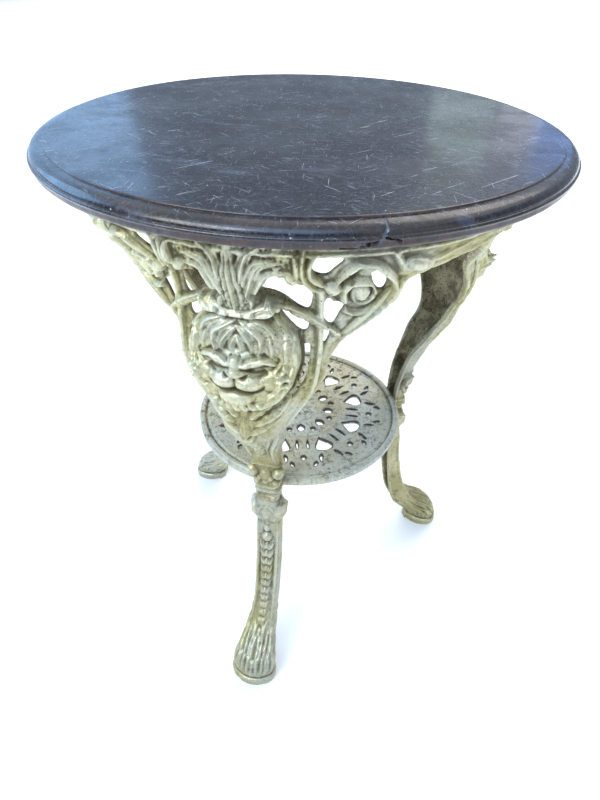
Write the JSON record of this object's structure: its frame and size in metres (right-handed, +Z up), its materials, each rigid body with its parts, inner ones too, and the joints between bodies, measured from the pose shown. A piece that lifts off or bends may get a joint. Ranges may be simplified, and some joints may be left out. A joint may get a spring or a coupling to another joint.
{
  "type": "round table",
  "caption": "Round occasional table with a moulded dark wood top on pierced cast-iron cabriole legs with lion masks and hoof feet, joined by a pierced round undershelf.",
  "frame": {"origin": "on the floor under the centre of the top", "axes": "+Z up, one leg at -Y, the others at 120 degrees to it"},
  "size_m": [0.562, 0.562, 0.73],
  "materials": {
    "wood": "polished near-black stain, worn",
    "cast_paint": "pale champagne metallic paint over cast iron",
    "shelf_paint": "worn silver paint over cast iron",
    "steel": "dull zinc, aged"
  },
  "bodies": {
    "root": {"table_top": "wood", "leg_front": "cast_paint", "leg_right": "cast_paint", "leg_left": "cast_paint", "undershelf": "shelf_paint", "apron_bolts": "steel", "apron_washers": "steel", "apron_nuts": "steel", "shelf_bolts": "steel", "shelf_washers": "steel", "top_screws": "steel"}
  },
  "joints": []
}
